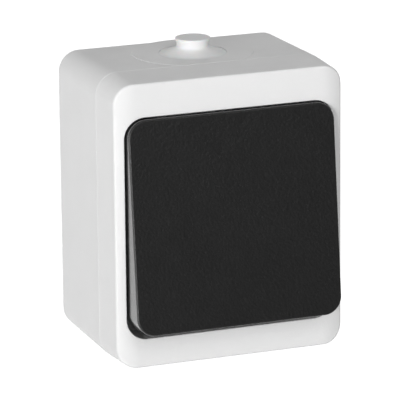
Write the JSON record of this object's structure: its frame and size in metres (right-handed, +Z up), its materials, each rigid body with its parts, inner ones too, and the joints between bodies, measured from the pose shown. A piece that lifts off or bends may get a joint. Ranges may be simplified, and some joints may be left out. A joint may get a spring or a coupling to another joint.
{
  "type": "weatherproof rocker switch",
  "caption": "Surface-mounted weatherproof light switch: tapered two-part box, large tilting rocker, sealed cable entry on top, and a see-saw contact mechanism inside.",
  "frame": {"origin": "centre of the back face, in the plane that lies on the wall", "axes": "+X right as seen from the front, +Y into the wall, +Z up; the rocker faces -Y"},
  "size_m": [0.066, 0.0512, 0.0832],
  "materials": {
    "grey_plastic": "satin, faint grain",
    "entry_rubber": "pale, soft, matte",
    "black_plastic": "fine grain, low sheen",
    "dark_rubber": "matte",
    "insert_plastic": "plain moulded",
    "carrier_plastic": "plain moulded",
    "plunger_plastic": "slippery, waxy",
    "steel": "zinc plated",
    "spring_steel": "drawn wire",
    "contact_metal": "stamped, with silver contacts",
    "brass": "stamped"
  },
  "bodies": {
    "housing": {"base_box": "grey_plastic", "cable_grommet": "entry_rubber", "front_cover": "grey_plastic", "cover_gasket": "dark_rubber", "cover_screws": "steel", "screw_seals": "dark_rubber", "bearing_frame": "insert_plastic", "aperture_seal": "dark_rubber", "mechanism_housing": "insert_plastic", "mechanism_screws": "steel", "upper_terminal": "brass", "lower_terminal": "brass", "common_terminal": "brass", "clamp_plates": "steel", "terminal_screws": "steel", "earth_terminal": "brass", "earth_screws": "brass"},
    "rocker": {"rocker": "black_plastic", "rocker_carrier": "carrier_plastic", "plunger_spring": "spring_steel"},
    "plunger": {"spring_plunger": "plunger_plastic"},
    "blade": {"contact_blade": "contact_metal"}
  },
  "joints": [
    {"name": "rocker_pivot", "type": "hinge", "parent": "housing", "child": "rocker", "pos_m": [0, -0.0364, -0.00065], "axis": [1, 0, 0], "range_deg": [0, 11.8]},
    {"name": "plunger_slide", "type": "slide", "parent": "rocker", "child": "plunger", "axis": [0, 0.9947, -0.1028], "range_m": [-0.001, 0], "stiffness_N_per_m": 800, "springref_m": 0.002, "deforming": ["plunger_spring"]},
    {"name": "blade_pivot", "type": "hinge", "parent": "housing", "child": "blade", "pos_m": [0, -0.019, -0.00065], "axis": [1, 0, 0], "range_deg": [-16, 0]}
  ],
  "couplings": [
    {"joint": "blade_pivot", "follows": "rocker_pivot", "ratio": -1.3559}
  ]
}
